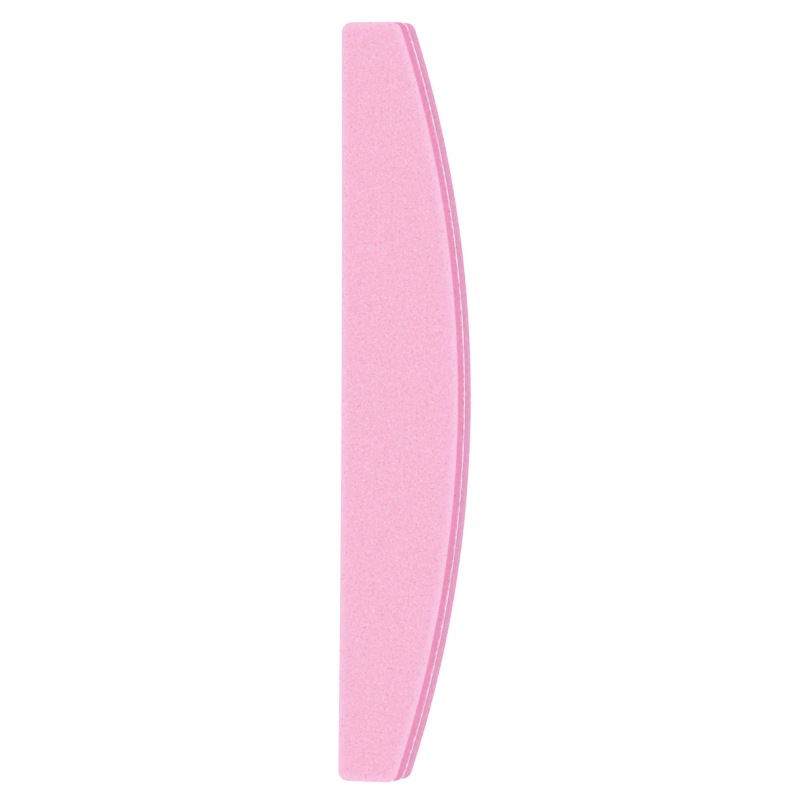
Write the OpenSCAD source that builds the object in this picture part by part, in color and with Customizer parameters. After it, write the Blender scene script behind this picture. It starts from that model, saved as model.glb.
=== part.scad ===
// Half-moon sponge nail buffer: a flat sandwich of eleven glued layers, cut to one outline.
// The soft layers spring back a little from the cut, so the stiff board stands just proud,
// and the straight long edge is very slightly hollow.
// It lies on its back abrasive face. +X runs along its length, +Y points to its straight
// long edge, -Y to its curved long edge, and +Z up through the layers. The origin is the
// middle of the outline's bounding box, on the surface that the buffer lies on.

/* [Outline] */
// Overall length, end to end
buffer_length = 178; // [120:1:200]
// Overall width, from the ends of the straight edge to the top of the curved edge
overall_width = 29; // [24:0.1:36]
// Width at each end, from the straight edge to the end of the curved edge
end_width = 14.4; // [10:0.1:18]
// How far the middle of the straight edge lies in from the line across its ends
straight_hollow = 0.35; // [0.1:0.05:0.8]
// Corner radius at both ends of the straight edge
straight_corner_r = 2.6; // [1:0.1:4]
// Corner radius at both ends of the curved edge
curved_corner_r = 2.6; // [1:0.1:4]
// How far the abrasive sheets' edge stands back from the board's edge
sheet_setback = 0.15; // [0:0.05:0.3]
// How far the edge of the foam and its glue stands back from the board's edge
foam_setback = 0.25; // [0:0.05:0.5]

/* [Layers] */
// Overall thickness, from one abrasive face to the other
buffer_thickness = 12; // [8:0.1:16]
// Thickness of the stiff plastic board in the middle
core_thickness = 0.8; // [0.5:0.1:2]
// Thickness of the double-sided tape on each side of the board
core_tape_thickness = 0.1; // [0.05:0.01:0.3]
// Thickness of the glue film under each abrasive sheet
face_glue_thickness = 0.1; // [0.05:0.01:0.3]
// Thickness of the backing that carries the abrasive
backing_thickness = 0.25; // [0.1:0.05:0.5]
// Thickness of the layer of abrasive grains and their resin
grit_thickness = 0.15; // [0.05:0.05:0.4]

/* [Hidden] */

// The foam takes up what the thin layers leave of the overall thickness.
foam_thickness = (buffer_thickness - core_thickness) / 2 - core_tape_thickness
    - face_glue_thickness - backing_thickness - grit_thickness;

// Distances from the middle of the board to the near face of each layer.
middle_z = buffer_thickness / 2;
tape_gap = core_thickness / 2;
foam_gap = tape_gap + core_tape_thickness;
glue_gap = foam_gap + foam_thickness;
backing_gap = glue_gap + face_glue_thickness;
grit_gap = backing_gap + backing_thickness;

// The curved edge is one arc, through both ends and the middle of the outline.
half_length = buffer_length / 2;
half_width = overall_width / 2;
arc_rise = overall_width - end_width;
arc_r = (half_length ^ 2 + arc_rise ^ 2) / (2 * arc_rise);
arc_centre_y = arc_r - half_width;

// A curved corner touches the end's straight cut and the inside of the long arc.
curved_corner_x = half_length - curved_corner_r;
curved_corner_y = arc_centre_y
    - sqrt((arc_r - curved_corner_r) ^ 2 - curved_corner_x ^ 2);
// Angle, seen from the arc's centre, between its middle and where it meets a corner.
arc_end_angle = asin(curved_corner_x / (arc_r - curved_corner_r));

// The straight edge is an arc of very large radius, and its centre is outside the block.
straight_corner_x = half_length - straight_corner_r;
straight_corner_y = half_width - straight_corner_r;
hollow_r = (straight_corner_x ^ 2 + straight_hollow ^ 2) / (2 * straight_hollow);
hollow_centre_y = straight_corner_y
    + sqrt((hollow_r + straight_corner_r) ^ 2 - straight_corner_x ^ 2);
// Angle, seen from that centre, between the edge's middle and where it meets a corner.
hollow_end_angle = asin(straight_corner_x / (hollow_r + straight_corner_r));

// Steps round each corner, along the arc and along the hollow edge.
corner_steps = 12;
arc_steps = 90;
hollow_steps = 24;

foam_pink = [0.87, 0.38, 0.60];
foam_mauve = [0.82, 0.42, 0.62];
face_pink = [0.96, 0.72, 0.83];
backing_pink = [0.93, 0.78, 0.86];
board_white = [0.98, 0.94, 0.96];
glue_mauve = [0.72, 0.50, 0.60];

// Points round a centre, from angle a to angle b. A long arc between two corners leaves out
// its own ends, because they belong to the corners.
function arc_points(centre, r, a, b, steps, skip = 0) = [
    for (i = [skip : steps - skip])
        let (t = a + (b - a) * i / steps)
            centre + r * [cos(t), sin(t)]
];

function corner_points(x, y, r, a, b) = arc_points([x, y], r, a, b, corner_steps);

// The outline set back by setback, counter-clockwise from the right end of the long arc.
function outline_points(setback) = concat(
    corner_points(curved_corner_x, curved_corner_y, curved_corner_r - setback,
        arc_end_angle - 90, 0),
    corner_points(straight_corner_x, straight_corner_y, straight_corner_r - setback,
        0, 90 + hollow_end_angle),
    arc_points([0, hollow_centre_y], hollow_r + setback,
        hollow_end_angle - 90, -hollow_end_angle - 90, hollow_steps, skip = 1),
    corner_points(-straight_corner_x, straight_corner_y, straight_corner_r - setback,
        90 - hollow_end_angle, 180),
    corner_points(-curved_corner_x, curved_corner_y, curved_corner_r - setback,
        180, 270 - arc_end_angle),
    arc_points([0, arc_centre_y], arc_r - setback,
        -90 - arc_end_angle, -90 + arc_end_angle, arc_steps, skip = 1)
);

// A plate that starts at the height low.
module plate(low, thickness, setback) {
    translate([0, 0, low])
        linear_extrude(height = thickness)
            polygon(outline_points(setback));
}

// A layer on the front (side 1) or back (side -1) of the board, gap from its middle.
module layer(side, gap, thickness, setback) {
    plate(side > 0 ? middle_z + gap : middle_z - gap - thickness, thickness, setback);
}

// Stiff white polystyrene board that keeps the buffer straight.
module core_board() {
    color(board_white) plate(middle_z - core_thickness / 2, core_thickness, 0);
}

module core_tape(side) {
    color(glue_mauve) layer(side, tape_gap, core_tape_thickness, foam_setback);
}

module foam_pad(side) {
    color(side > 0 ? foam_pink : foam_mauve)
        layer(side, foam_gap, foam_thickness, foam_setback);
}

module face_glue(side) {
    color(glue_mauve) layer(side, glue_gap, face_glue_thickness, foam_setback);
}

module abrasive_backing(side) {
    color(backing_pink) layer(side, backing_gap, backing_thickness, sheet_setback);
}

module grit_coat(side) {
    color(face_pink) layer(side, grit_gap, grit_thickness, sheet_setback);
}

core_board();
core_tape(1);  // front_core_tape
core_tape(-1);  // back_core_tape
foam_pad(1);  // front_foam_pad
foam_pad(-1);  // back_foam_pad
face_glue(1);  // front_face_glue
face_glue(-1);  // back_face_glue
abrasive_backing(1);  // front_abrasive_backing
abrasive_backing(-1);  // back_abrasive_backing
grit_coat(1);  // front_grit_coat
grit_coat(-1);  // back_grit_coat
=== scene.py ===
import math

import bpy
import numpy as np
from mathutils import Matrix, Vector, noise
from mathutils.geometry import delaunay_2d_cdt


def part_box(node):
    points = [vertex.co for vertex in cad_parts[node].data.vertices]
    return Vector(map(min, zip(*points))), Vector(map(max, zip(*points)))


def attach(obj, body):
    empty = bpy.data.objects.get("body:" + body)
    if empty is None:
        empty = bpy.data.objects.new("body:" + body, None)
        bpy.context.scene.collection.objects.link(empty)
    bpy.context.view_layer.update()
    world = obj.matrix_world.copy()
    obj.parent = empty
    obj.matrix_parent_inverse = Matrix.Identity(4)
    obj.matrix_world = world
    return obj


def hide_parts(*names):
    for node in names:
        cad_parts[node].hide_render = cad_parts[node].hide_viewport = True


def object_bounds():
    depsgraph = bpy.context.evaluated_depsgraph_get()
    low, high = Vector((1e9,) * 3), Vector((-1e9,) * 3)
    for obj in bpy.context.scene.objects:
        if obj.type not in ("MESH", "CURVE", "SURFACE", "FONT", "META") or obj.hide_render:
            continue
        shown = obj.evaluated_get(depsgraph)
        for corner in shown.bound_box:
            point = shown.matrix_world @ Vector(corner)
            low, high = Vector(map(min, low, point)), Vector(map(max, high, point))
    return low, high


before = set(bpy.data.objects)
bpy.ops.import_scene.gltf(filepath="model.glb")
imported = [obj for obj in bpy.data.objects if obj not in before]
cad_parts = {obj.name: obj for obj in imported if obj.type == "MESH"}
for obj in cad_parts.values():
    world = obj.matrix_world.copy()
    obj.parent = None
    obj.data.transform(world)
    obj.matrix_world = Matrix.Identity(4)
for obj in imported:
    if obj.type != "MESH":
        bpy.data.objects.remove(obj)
cad_low, cad_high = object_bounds()

# ---- Sizes, in millimetres unless a comment says otherwise ----

MM = 0.001
SIDES = {"front": 1, "back": -1}

# The cutting die presses the edge of each face down, and the grit is paler there.
RIM_WIDTH = 2.4
RIM_DROP = 0.35
TINT_WIDTH = 3.9

# The curved edge isn't cut quite upright: towards the left (-X) and the right end, the
# front face's edge falls back behind the back face's. These are how far it does so at the
# end, the power of the distance from the middle that it grows with, and how far across
# the block the shift fades out.
LEFT_SLANT = 0.47
LEFT_GROWTH = 1.1
RIGHT_SLANT = 0.24
RIGHT_GROWTH = 4.0
SLANT_REACH = 14.0

# How far cut edges stand back from the board's outline. The foam and the abrasive sheets
# take theirs from the CAD. The board's leaves room for its unevenness, the tape squeezes
# out past the foam, and the glue falls short of it.
BOARD_INSET = 0.07
TAPE_INSET = 0.14
GLUE_INSET = 0.3

# How far wear takes an abrasive sheet's edge back, and its top corner.
EDGE_WEAR = 0.03
CORNER_WEAR = 0.09

# How far the board's corners are rounded over.
BOARD_ROUND = 0.08

# How uneven each thin layer's edge is: how far in and out it goes, and over what length.
BOARD_WAVE = (0.012, 2.5)
TAPE_WAVE = (0.15, 0.8)
GLUE_WAVE = (0.06, 0.8)
SHEET_WAVE = (0.015, 0.5)
CORNER_WAVE = (0.02, 0.5)

# The foam's cut edge: dished between its faces, with a groove beside the board and a
# shallower one beside the abrasive sheet.
FOAM_DISH = 0.1
GROOVE_DEPTH = 0.16
SHEET_GROOVE_DEPTH = 0.1
GROOVE_HEIGHT = 0.5

# Slow waves along the foam's edge: how far in and out, and over what length.
FOAM_WAVE = 0.03
FOAM_WAVE_LENGTH = 9.0

# Foam cells that the die cut open: their size, and how deep the largest are. A wall's
# width is a share of the size, and the last two are shares of the largest depth: the
# smallest cell's, and the one that lies level with the foam's edge.
CELL_SIZE = 0.5
PIT_DEPTH = 0.13
CELL_WALL = 0.3
SMALLEST_CELL = 0.35
LEVEL_CELL = 0.4

# How many cells each foam's edge is shifted through one pattern, the front one way and
# the back the other, so that the two differ.
CELL_SHIFT = 50

# Dust from the abrasive sheet on the foam beside it: how far it reaches, and how thickly.
DUST_WIDTH = 2.0
DUST_SHARE = 0.6

# Mesh spacing: on the abrasive faces, on the foam's edge, on thin edges, on hidden faces.
GRAIN_STEP = 0.245
FOAM_STEP = 0.17
EDGE_STEP = 0.3
HIDDEN_STEP = 3.0

# On hidden faces, the distances from the outline of rings that follow the pressed rim.
HIDDEN_RINGS = (0.9, 1.3, 1.7, 2.2)

# How far inside the abrasive sheets' edge, as CAD has it, their faces' own points start.
GRAIN_CLEAR = 0.22

# Height of the grains over the resin between them, and the size of their clumps.
GRAIN_HEIGHT = 0.045
CLUMP_SIZE = 0.8


# ---- The outline and the block's shape, from the frame ----

def outline_of(node):
    """A CAD node's outline as x, y points in mm, counter-clockwise."""
    corners = np.array([v.co[:2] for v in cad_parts[node].data.vertices]) / MM
    corners = np.unique(corners.round(4), axis=0)
    from_centre = corners - corners.mean(0)
    return corners[np.argsort(np.arctan2(from_centre[:, 1], from_centre[:, 0]))]


OUTLINE = outline_of("core_board")
NEXT_CORNER = np.roll(OUTLINE, -1, axis=0)
BOARD_LOW, BOARD_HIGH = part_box("core_board")
MIDDLE_Z = (BOARD_LOW.z + BOARD_HIGH.z) / 2 / MM


def reach(node):
    """The heights in mm of a node's near and far faces over the board's middle."""
    low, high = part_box(node)
    return low.z / MM - MIDDLE_Z, high.z / MM - MIDDLE_Z


def setback(node):
    """How far in mm a node's cut edge stands back from the board's."""
    return (BOARD_HIGH.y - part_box(node)[1].y) / MM


HALF_THICKNESS = reach("front_grit_coat")[1]
FOAM_NEAR, FOAM_FAR = reach("front_foam_pad")
FOAM_SETBACK = setback("front_foam_pad")
SHEET_SETBACK = setback("front_grit_coat")


def ring(step):
    """Points about step apart round the outline, and the way out at each."""
    ends = np.vstack([OUTLINE, OUTLINE[:1]])
    along = np.concatenate([[0], np.cumsum(np.linalg.norm(np.diff(ends, axis=0), axis=1))])
    at = np.linspace(0, along[-1], int(round(along[-1] / step)), endpoint=False)
    points = np.stack([np.interp(at, along, ends[:, k]) for k in (0, 1)], axis=1)
    run = np.roll(points, -2, axis=0) - np.roll(points, 2, axis=0)
    run /= np.linalg.norm(run, axis=1)[:, None]
    return points, np.stack([run[:, 1], -run[:, 0]], axis=1)


def edge_distance(points):
    """Distance in mm from each x, y point to the outline."""
    nearest = np.full(len(points), np.inf)
    for corner, side in zip(OUTLINE, NEXT_CORNER - OUTLINE):
        along = np.clip((points - corner) @ side / (side @ side), 0, 1)
        gap = points - corner - along[:, None] * side
        nearest = np.minimum(nearest, (gap ** 2).sum(1))
    return np.sqrt(nearest)


def inside(points):
    """True for each x, y point inside the outline: an odd number of sides is left of it."""
    result = np.zeros(len(points), bool)
    for corner, side in zip(OUTLINE, NEXT_CORNER - OUTLINE):
        x, y = (points - corner).T
        in_band = (y >= 0) != (y >= side[1])
        result ^= in_band & ((side[0] * y > side[1] * x) == (side[1] < 0))
    return result


def lattice(step, clear):
    """Points on a triangular lattice, at least clear inside the outline."""
    low, high = OUTLINE.min(0), OUTLINE.max(0)
    x, y = np.meshgrid(np.arange(low[0], high[0], step),
                       np.arange(low[1], high[1], step * math.sqrt(3) / 2))
    x[1::2] += step / 2
    points = np.column_stack([x.ravel(), y.ravel()])
    points = points[inside(points)]
    return points[edge_distance(points) > clear]


def hidden_filling():
    """A few points for faces that lie against another layer, closer over the rim."""
    points, out = ring(HIDDEN_STEP / 2)
    rings = [points - out * distance for distance in HIDDEN_RINGS]
    return np.vstack([*rings, lattice(HIDDEN_STEP, RIM_WIDTH + HIDDEN_STEP / 2)])


HIDDEN = hidden_filling()


def pressed(height, distance):
    """Height over the board's middle once the die has pressed the edge down."""
    share = np.clip(height / HALF_THICKNESS, 0, 1) ** 2
    return height - RIM_DROP * share * np.clip(1 - distance / RIM_WIDTH, 0, 1) ** 3


def slanted(vertices):
    """The x, y, z points in mm over the board's middle, with the curved edge's slant."""
    x, y, z = vertices.T
    low, high = OUTLINE.min(0), OUTLINE.max(0)
    left = LEFT_SLANT * np.clip(x / low[0], 0, 1) ** LEFT_GROWTH
    right = RIGHT_SLANT * np.clip(x / high[0], 0, 1) ** RIGHT_GROWTH
    upward = (z / HALF_THICKNESS + 1) / 2
    across = np.clip((high[1] - y) / SLANT_REACH, 0, 1)
    return np.column_stack([x, y + (left + right) * upward * across, z])


# ---- Noise for shapes ----

def noise_at(points, size, seed=0.0):
    """Smooth noise from -1 to 1, with features about size mm across."""
    shift = Vector((seed, -seed, seed))
    return np.array([noise.noise(Vector(p) / size + shift) for p in points])


def at_height(points, height):
    """The x, y points as x, y, z points."""
    return np.column_stack([points, np.full(len(points), height)])


def cell_number(centre):
    """A number from 0 to 1 that differs from one cell's centre to the next."""
    return abs(math.sin(centre.x * 12.9 + centre.y * 78.2 + centre.z * 37.7))


def cell_depth(points, side):
    """How deep the cut cells are, from 0 on a cell's wall to 1 in a large cell."""
    depth = []
    for p in points:
        place = Vector(p) / CELL_SIZE + Vector((0, 0, CELL_SHIFT * side))
        (first, second, *_), (centre, *_) = noise.voronoi(place)
        size = SMALLEST_CELL + (1 - SMALLEST_CELL) * cell_number(centre)
        depth.append(size * min(1.0, (second - first) / CELL_WALL) ** 0.6)
    return np.array(depth)


# ---- One layer as a closed mesh ----

def cap_faces(border, filling):
    """Triangles that cover a closed border and use the loose points inside it."""
    count = len(border)
    points = [Vector(p) for p in np.vstack([border, filling])]
    edges = [(i, (i + 1) % count) for i in range(count)]
    only_inside = 1
    merge_distance = 1e-6
    made = delaunay_2d_cdt(points, edges, [], only_inside, merge_distance)
    assert len(made[0]) == len(points), "the triangulation added or merged points"
    return np.array(made[2])


def layer(name, side, near, far, step, insets, filling=HIDDEN, grain=None):
    """A layer from height near to height far, on the front (side 1) or back (side -1).

    insets has a row for each level of the cut edge: its share of the layer's height, and
    a function from the edge's x, y, z points to how far they stand back. grain gives the
    height that the far face gains at its x, y points.
    """
    points, out = ring(step)
    columns = np.arange(len(points))
    levels, depths = [], []
    for share, inset in insets:
        height = near + (far - near) * share
        back = inset(at_height(points, height))
        depths.append(back)
        levels.append(np.column_stack([points - out * back[:, None],
                                       pressed(np.full(len(points), height), 0)]))
    count = len(points)
    faces = []
    for level in range(len(levels) - 1):
        low, high = level * count + columns, (level + 1) * count + columns
        faces.extend(np.column_stack([low, np.roll(low, -1), np.roll(high, -1), high]).tolist())
    if grain is not None:
        levels[-1][:, 2] += grain(levels[-1][:, :2])
    parts, total = list(levels), len(levels) * count
    for height, level, points_in, is_far in ((near, 0, HIDDEN, False),
                                             (far, len(levels) - 1, filling, True)):
        triangles = cap_faces(levels[level][:, :2], points_in)
        distance = edge_distance(points_in)
        z = pressed(height, distance)
        if is_far and grain is not None:
            z = z + grain(points_in)
        index = np.concatenate([level * count + columns, total + np.arange(len(points_in))])
        corners = index[triangles]
        faces.extend((corners if is_far else corners[:, ::-1]).tolist())
        parts.append(np.column_stack([points_in, z]))
        depths.append(distance)
        total += len(points_in)
    return mesh_piece(name, side, np.vstack(parts), faces, np.concatenate(depths))


def mesh_piece(name, side, vertices, faces, depth):
    """The object for a layer, with each vertex's distance from the outline kept on it."""
    if side < 0:
        vertices = vertices * (1, 1, -1)
        faces = [face[::-1] for face in faces]
    mesh = bpy.data.meshes.new(name)
    mesh.from_pydata(((slanted(vertices) + (0, 0, MIDDLE_Z)) * MM).tolist(), [], faces)
    mesh.shade_smooth()
    mesh.attributes.new("from_edge", "FLOAT", "POINT").data.foreach_set("value", depth)
    piece = bpy.data.objects.new(name, mesh)
    bpy.context.scene.collection.objects.link(piece)
    return piece


def stands_for(piece, node, material):
    """Puts a finished piece in a CAD node's place."""
    piece.data.materials.append(material)
    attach(piece, "root")
    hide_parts(node)


# ---- Materials ----

# What the studio light multiplies a pale, level surface's colour by.
LIGHT_LEVEL = 1.1


def as_seen(red, green, blue):
    """The base colour that shows as this 0 to 255 colour in the studio light."""
    shown = np.array([red, green, blue]) / 255
    linear = np.where(shown < 0.04045, shown / 12.92, ((shown + 0.055) / 1.055) ** 2.4)
    return tuple(linear / LIGHT_LEVEL)


# The grit: grains in deeper and paler clumps, cool and warm patches, the tint near the
# edge, the pressed rim, and odd grains.
DEEP_CLUMP = as_seen(246, 172, 204)
PALE_CLUMP = as_seen(253, 199, 223)
COOL_PATCH = as_seen(244, 188, 217)
WARM_PATCH = as_seen(254, 181, 210)
EDGE_TINT = as_seen(250, 187, 222)
RIM_LILAC = as_seen(251, 203, 230)
DARK_GRAIN = as_seen(219, 146, 184)
PALE_GRAIN = as_seen(255, 216, 230)

# The foams: cell walls; open cells and recesses, darkened with painted shade; beside the tape;
# and beside the abrasive sheet. The number is how far in mm the band beside the tape reaches:
# glue soak on the front, painted shade under the board's edge on the back.
FOAM_LOOKS = {
    "front": (as_seen(245, 155, 199), as_seen(235, 131, 180),
              as_seen(234, 154, 191), as_seen(233, 164, 202), 1.2),
    # The back foam's colours are greyer and more mauve than the front's: painted shade on the lower
    # pad.
    "back": (as_seen(241, 169, 207), as_seen(225, 144, 186),
             as_seen(202, 151, 180), as_seen(239, 184, 214), 2.3),
}

# The board, the tape, the face glue and the backing have two colours each, in patches,
# and the tape's glue is smeared on the board.
# The board's whites are tinted pink: painted light bounced from the pink foam beside it.
BOARD_WHITES = as_seen(252, 214, 231), as_seen(252, 224, 237)
BOARD_SMEAR = as_seen(228, 166, 197)
TAPE_PINKS = as_seen(224, 161, 191), as_seen(252, 200, 224)
GLUE_PINKS = as_seen(236, 175, 204), as_seen(245, 192, 217)
PAPER_PINKS = as_seen(230, 180, 206), as_seen(250, 214, 231)

# Sizes of the grit's grains and of the patches in its colour.
GRAIN_SIZE = 0.27
CLUMP_COLOUR_SIZE = 0.6
COOL_SIZE = 1.7
WARM_SIZE = 1.3

# Sizes of the foam's open pores, and of the ragged places along its bands of glue and
# dust.
PORE_SIZE = 0.34
RAG_SIZE = 0.9

# Sizes of the board's die lines, tints and smears, of spots on films, and of paper fibres.
LINE_SIZE = 0.25
TINT_SIZE = 4.0
SMEAR_SIZE = 1.2
SPOT_SIZE = 0.6
FIBRE_SIZE = 0.4


class Look:
    """A procedural material: a Principled shader and the nodes that drive it."""

    def __init__(self, name, roughness, specular=0.25):
        self.material = bpy.data.materials.new(name)
        self.material.use_nodes = True
        self.tree = self.material.node_tree
        self.shader = self.tree.nodes["Principled BSDF"]
        self.shader.inputs["Roughness"].default_value = roughness
        self.shader.inputs["Specular IOR Level"].default_value = specular
        self.place = self.node("TexCoord").outputs["Object"]

    def node(self, kind, **settings):
        made = self.tree.nodes.new("ShaderNode" + kind)
        for key, value in settings.items():
            setattr(made, key, value)
        return made

    def put(self, socket, value):
        if isinstance(value, bpy.types.NodeSocket):
            self.tree.links.new(value, socket)
        elif isinstance(value, tuple) and socket.type == "RGBA":
            socket.default_value = (*value, 1)
        else:
            socket.default_value = value

    def pattern(self, kind, size, stretch=(1, 1, 1)):
        """A texture node with features about size mm across."""
        place = self.node("Mapping")
        self.put(place.inputs["Vector"], self.place)
        place.inputs["Scale"].default_value = [1 / (size * MM * s) for s in stretch]
        made = self.node(kind)
        self.put(made.inputs["Vector"], place.outputs["Vector"])
        made.inputs["Scale"].default_value = 1
        return made

    def noise(self, size, detail=2.0, roughness=0.5, stretch=(1, 1, 1)):
        """Noise from about 0.3 to 0.7."""
        made = self.pattern("TexNoise", size, stretch)
        made.inputs["Detail"].default_value = detail
        made.inputs["Roughness"].default_value = roughness
        return made.outputs["Fac"]

    def cells(self, size):
        """Rounded cells: 0 in a cell's middle to about 0.7 in its corners, and two random
        numbers from 0 to 1 for each cell."""
        made = self.pattern("TexVoronoi", size)
        parts = self.node("SeparateColor")
        self.put(parts.inputs["Color"], made.outputs["Color"])
        return made.outputs["Distance"], parts.outputs["Red"], parts.outputs["Green"]

    def from_edge(self):
        """Distance in mm from the outline, as it is without the slant."""
        return self.node("Attribute", attribute_name="from_edge").outputs["Fac"]

    def remap(self, value, low, high, to_low=0.0, to_high=1.0, smooth=False):
        made = self.node("MapRange", interpolation_type="SMOOTHSTEP" if smooth else "LINEAR")
        for socket, number in zip(made.inputs[:5], (value, low, high, to_low, to_high)):
            self.put(socket, number)
        return made.outputs["Result"]

    def maths(self, operation, a, b):
        made = self.node("Math", operation=operation)
        self.put(made.inputs[0], a)
        self.put(made.inputs[1], b)
        return made.outputs["Value"]

    def mix(self, share, a, b):
        made = self.node("Mix", data_type="RGBA")
        for index, value in ((0, share), (6, a), (7, b)):
            self.put(made.inputs[index], value)
        return made.outputs[2]

    def brighten(self, colour, times):
        made = self.node("VectorMath", operation="SCALE")
        self.put(made.inputs["Vector"], colour)
        self.put(made.inputs["Scale"], times)
        return made.outputs["Vector"]

    def bump(self, height, distance):
        """Bumps of distance mm."""
        made = self.node("Bump")
        self.put(made.inputs["Height"], height)
        made.inputs["Distance"].default_value = distance * MM
        self.put(self.shader.inputs["Normal"], made.outputs["Normal"])

    def finish(self, colour, roughness=None):
        self.put(self.shader.inputs["Base Color"], colour)
        if roughness is not None:
            self.put(self.shader.inputs["Roughness"], roughness)
        return self.material


def grit_look():
    """Pink grains in resin: dark and pale specks, and a paler, lilac pressed rim."""
    look = Look("pink_grit", 0.9, specular=0.2)
    from_middle, shade, kind = look.cells(GRAIN_SIZE)
    clumps = look.noise(CLUMP_COLOUR_SIZE, detail=3.0, roughness=0.7)
    face = look.mix(look.remap(clumps, 0.35, 0.65), DEEP_CLUMP, PALE_CLUMP)
    face = look.brighten(face, look.remap(shade, 0.0, 1.0, 0.935, 1.075))
    cool = look.remap(look.noise(COOL_SIZE), 0.42, 0.62, 0.0, 0.5)
    face = look.mix(cool, face, COOL_PATCH)
    warm = look.remap(look.noise(WARM_SIZE), 0.45, 0.65, 0.0, 0.5)
    face = look.mix(warm, face, WARM_PATCH)
    tint = look.remap(look.from_edge(), SHEET_SETBACK, TINT_WIDTH, 0.7, 0.0)
    face = look.mix(tint, face, EDGE_TINT)
    rim = look.remap(look.from_edge(), SHEET_SETBACK, RIM_WIDTH, 0.75, 0.0, smooth=True)
    face = look.mix(rim, face, RIM_LILAC)
    dark = look.remap(kind, 0.03, 0.06, 0.5, 0.0)
    face = look.mix(dark, face, DARK_GRAIN)
    pale = look.remap(kind, 0.94, 0.96, 0.0, 0.6)
    face = look.mix(pale, face, PALE_GRAIN)
    look.bump(look.remap(from_middle, 0.1, 0.6, 1.0, 0.0), 0.05)
    return look.finish(face, look.remap(shade, 0.0, 1.0, 0.96, 0.75))


def foam_look(which, side):
    """Cut foam: painted shade in its cells and recesses, a greyer band beside the tape (glue soak
    on the front, painted shade under the board's edge on the back), and paler with dust beside
    the abrasive sheet."""
    colour, pit_shade_colour, soak_and_shade_colour, dusty_colour, soak_and_shade_width = FOAM_LOOKS[which]
    look = Look(which + "_foam", 0.95, specular=0.15)
    # Painted shade: the pit colour darkens the foam where its edge stands further back, in the
    # grooves, the dish and the cut cells.
    pores = look.remap(look.from_edge(), FOAM_SETBACK, FOAM_SETBACK + FOAM_DISH + PIT_DEPTH)
    face = look.mix(look.maths("MULTIPLY", pores, 0.6), colour, pit_shade_colour)
    from_middle, opened, shade = look.cells(PORE_SIZE)
    # Painted shade in the middles of the open pores.
    pore_shade = look.maths("MULTIPLY", look.remap(from_middle, 0.15, 0.5, 1.0, 0.0),
                       look.remap(opened, 0.2, 0.8, 0.1, 0.9))
    face = look.mix(pore_shade, face, pit_shade_colour)
    height = look.node("SeparateXYZ")
    look.put(height.inputs["Vector"], look.place)
    ragged = look.remap(look.noise(RAG_SIZE, detail=3.0), 0.35, 0.65, 0.5, 1.3)

    def band(edge, way, width):
        """1 at the foam's face at height edge, fading out about width mm into the foam."""
        into = look.maths("SUBTRACT", height.outputs["Z"], (MIDDLE_Z + side * edge) * MM)
        into = look.maths("DIVIDE", into, way * width * MM)
        return look.remap(look.maths("DIVIDE", into, ragged), 0.3, 1.0, 1.0, 0.0, smooth=True)

    # Glue soak and painted shade: the band beside the board is glue on the front foam, and on the
    # back foam it is painted shadow under the board's overhanging edge.
    face = look.mix(band(FOAM_NEAR, side, soak_and_shade_width), face, soak_and_shade_colour)
    dust = look.maths("MULTIPLY", band(FOAM_FAR, -side, DUST_WIDTH), DUST_SHARE)
    face = look.mix(dust, face, dusty_colour)
    look.bump(look.remap(from_middle, 0.1, 0.6), 0.09)
    return look.finish(look.brighten(face, look.remap(shade, 0.0, 1.0, 0.93, 1.07)))


def board_look():
    """White polystyrene, tinted pink with painted bounce light from the foam, with the die's fine
    upright lines and smears of the tape's glue.
    """
    look = Look("white_board", 0.5, specular=0.5)
    lines = look.noise(LINE_SIZE, stretch=(1, 1, 20))
    tint = look.remap(look.noise(TINT_SIZE), 0.35, 0.65)
    colour = look.mix(tint, *BOARD_WHITES)
    smears = look.noise(SMEAR_SIZE, detail=3.0, stretch=(1, 1, 0.8))
    smears = look.remap(smears, 0.46, 0.6, 0.0, 0.7)
    colour = look.mix(smears, colour, BOARD_SMEAR)
    look.bump(lines, 0.012)
    return look.finish(colour, look.remap(lines, 0.3, 0.7, 0.42, 0.6))


def film_look(name, colours, roughness, share=0.5):
    """Glue or tape, a little glossy: the first of its colours on about share of it."""
    look = Look(name, roughness, specular=0.5)
    patches = look.noise(SPOT_SIZE)
    look.bump(patches, 0.02)
    edge = 0.36 + 0.28 * share
    return look.finish(look.mix(look.remap(patches, edge - 0.06, edge + 0.06), *colours),
                       look.remap(patches, 0.3, 0.7, roughness - 0.1, roughness + 0.15))


def backing_look():
    """The pale cut edge of coated paper, with fibres along it."""
    look = Look("paper_backing", 0.85, specular=0.25)
    fibres = look.noise(FIBRE_SIZE, detail=3.0, stretch=(3, 3, 0.4))
    look.bump(fibres, 0.02)
    return look.finish(look.mix(look.remap(fibres, 0.35, 0.65), *PAPER_PINKS))


# ---- The pieces ----

def wavy(amount, wave, size, seed=0.0):
    """An inset of amount, more or less wave, changing over size mm along the edge."""
    return lambda points: amount + wave * noise_at(points, size, seed)


def foam_inset(side):
    """How far the foam's cut edge stands back at points on it."""
    def groove(height, depth):
        return depth * np.clip(1 - height / GROOVE_HEIGHT, 0, 1) ** 2

    def inset(points):
        height = points[:, 2] - FOAM_NEAR
        share = height / (FOAM_FAR - FOAM_NEAR)
        dish = FOAM_DISH * 4 * share * (1 - share)
        uneven = np.maximum(0.6 + 0.8 * noise_at(points, 0.9, 7 * side), 0)
        grooves = (groove(height, GROOVE_DEPTH)
                   + groove(FOAM_FAR - points[:, 2], SHEET_GROOVE_DEPTH)) * uneven
        cells = cell_depth(points, side)
        wave = FOAM_WAVE * noise_at(points, FOAM_WAVE_LENGTH, 3 * side)
        return FOAM_SETBACK + dish + grooves + PIT_DEPTH * (cells - LEVEL_CELL) + wave
    return inset


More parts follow.
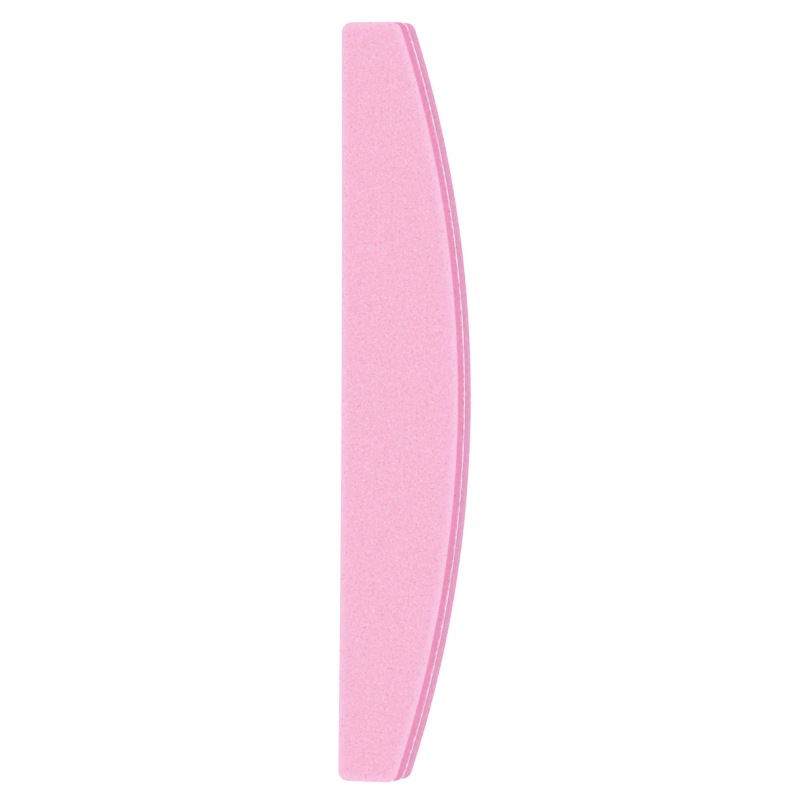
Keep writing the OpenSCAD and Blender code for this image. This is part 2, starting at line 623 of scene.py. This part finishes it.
def grains(side):
    """Heights of the grains, all below the face's plane."""
    draw = np.random.default_rng(5 + side)

    def height(points):
        rough = draw.random(len(points)) ** 1.5
        clumps = 0.5 + 0.5 * noise_at(at_height(points, side), CLUMP_SIZE)
        return -GRAIN_HEIGHT * np.clip(1 - 0.6 * rough - 0.4 * clumps, 0, 1)
    return height


def make_foam(which, side, material):
    rows = int(round((FOAM_FAR - FOAM_NEAR) / FOAM_STEP))
    inset = foam_inset(side)
    piece = layer(which + "_foam", side, FOAM_NEAR, FOAM_FAR, FOAM_STEP,
                  [(row / rows, inset) for row in range(rows + 1)])
    stands_for(piece, which + "_foam_pad", material)


def make_thin(which, side, kind, slot, material, insets, step=EDGE_STEP, **face):
    """A thin layer of the front or back: tape, glue, backing or grit."""
    node = which + "_" + kind
    near, far = reach("front_" + kind)
    piece = layer(node + "_piece", side, near, far, step, insets, **face)
    stands_for(piece, node, material)


def make_board():
    low, high = reach("core_board")
    cut = wavy(BOARD_INSET, *BOARD_WAVE)
    rounded = wavy(BOARD_INSET + BOARD_ROUND, *BOARD_WAVE)
    piece = layer("board", 1, low, high, EDGE_STEP,
                  [(0, rounded), (0.1, cut), (0.35, cut), (0.65, cut), (0.9, cut), (1, rounded)])
    stands_for(piece, "core_board", board_look())


make_board()
foams = {which: foam_look(which, side) for which, side in SIDES.items()}
tape = film_look("tape", TAPE_PINKS, 0.5, share=0.45)
face_glue = film_look("face_glue", GLUE_PINKS, 0.4)
backing = backing_look()
grit = grit_look()
grain_filling = lattice(GRAIN_STEP, SHEET_SETBACK + GRAIN_CLEAR)
for which, side in SIDES.items():
    make_foam(which, side, foams[which])
    ragged = wavy(TAPE_INSET, *TAPE_WAVE, side)
    make_thin(which, side, "core_tape", "tape", tape, [(0, ragged), (1, ragged)])
    back = wavy(GLUE_INSET, *GLUE_WAVE, side)
    make_thin(which, side, "face_glue", "face_glue", face_glue, [(0, back), (1, back)])
    cut = wavy(SHEET_SETBACK + EDGE_WEAR, *SHEET_WAVE, side)
    make_thin(which, side, "abrasive_backing", "backing", backing, [(0, cut), (0.5, cut), (1, cut)])
    rounded = wavy(SHEET_SETBACK + CORNER_WEAR, *CORNER_WAVE, side)
    make_thin(which, side, "grit_coat", "grit", grit, [(0, cut), (0.6, cut), (1, rounded)],
              step=GRAIN_STEP, filling=grain_filling, grain=grains(side))


# ---- Floor, light and camera ----

# The floor is a light table: it glows a little, so that shadows on it stay faint.
FLOOR_GLOW = 0.22
FLOOR_HALF_METRES = 4.0
FLOOR_GAP = 0.02

# The camera is straight above, then tipped until it sees the curved edge and one end.
# Its tilt, lean and roll are in degrees, and its aim is this many mm off the block's
# middle, across and up the picture.
CAMERA_DISTANCE = 1800.0
CAMERA_LENS = 345.9
CAMERA_TILT = 16.6
CAMERA_LEAN = 2.02
CAMERA_ROLL = -0.28
CAMERA_AIM = (-1.28, 0.53)

# The lamp: its place and its disc's width in metres, and its power in watts.
LAMP_PLACE = (0.15, -0.5, 1.4)
LAMP_WIDTH = 1.0
LAMP_POWER = 2.6


def make_floor():
    half = FLOOR_HALF_METRES
    mesh = bpy.data.meshes.new("floor")
    corners = [(-half, -half, 0), (half, -half, 0), (half, half, 0), (-half, half, 0)]
    mesh.from_pydata(corners, [], [(0, 1, 2, 3)])
    floor = bpy.data.objects.new("floor", mesh)
    floor.location.z = cad_low.z - FLOOR_GAP * MM
    bpy.context.scene.collection.objects.link(floor)
    look = Look("pale_floor", 0.9, specular=0.1)
    look.shader.inputs["Emission Color"].default_value = (1, 1, 1, 1)
    look.shader.inputs["Emission Strength"].default_value = FLOOR_GLOW
    shade = look.remap(look.noise(60.0), 0.3, 0.7, 0.94, 0.96)
    mesh.materials.append(look.finish(look.brighten((1, 1, 1), shade)))


def make_camera():
    data = bpy.data.cameras.new("camera")
    data.sensor_width = 36
    data.lens = CAMERA_LENS
    data.clip_start = 0.05
    data.clip_end = 50
    camera = bpy.data.objects.new("camera", data)
    bpy.context.scene.collection.objects.link(camera)
    turn = (Matrix.Rotation(math.radians(CAMERA_ROLL), 4, "Z")
            @ Matrix.Rotation(math.radians(CAMERA_LEAN), 4, "X")
            @ Matrix.Rotation(math.radians(-CAMERA_TILT), 4, "Y")
            @ Matrix.Rotation(math.radians(90), 4, "Z"))
    back_off = Matrix.Translation(Vector((*CAMERA_AIM, CAMERA_DISTANCE)) * MM)
    centre = Matrix.Translation((cad_low + cad_high) / 2)
    camera.matrix_world = centre @ turn.inverted() @ back_off
    bpy.context.scene.camera = camera


def make_light():
    """An even white surround, and a broad lamp high on the camera's side."""
    world = bpy.data.worlds.new("studio")
    bpy.context.scene.world = world
    world.use_nodes = True
    background = world.node_tree.nodes["Background"]
    background.inputs["Color"].default_value = (1, 1, 1, 1)
    background.inputs["Strength"].default_value = 1.0
    data = bpy.data.lights.new("softbox", "AREA")
    data.shape = "DISK"
    data.size = LAMP_WIDTH
    data.energy = LAMP_POWER
    lamp = bpy.data.objects.new("softbox", data)
    lamp.location = LAMP_PLACE
    lamp.rotation_euler = (-lamp.location).to_track_quat("-Z", "Y").to_euler()
    bpy.context.scene.collection.objects.link(lamp)
    bpy.context.scene.view_settings.view_transform = "Standard"


make_floor()
make_camera()
make_light()
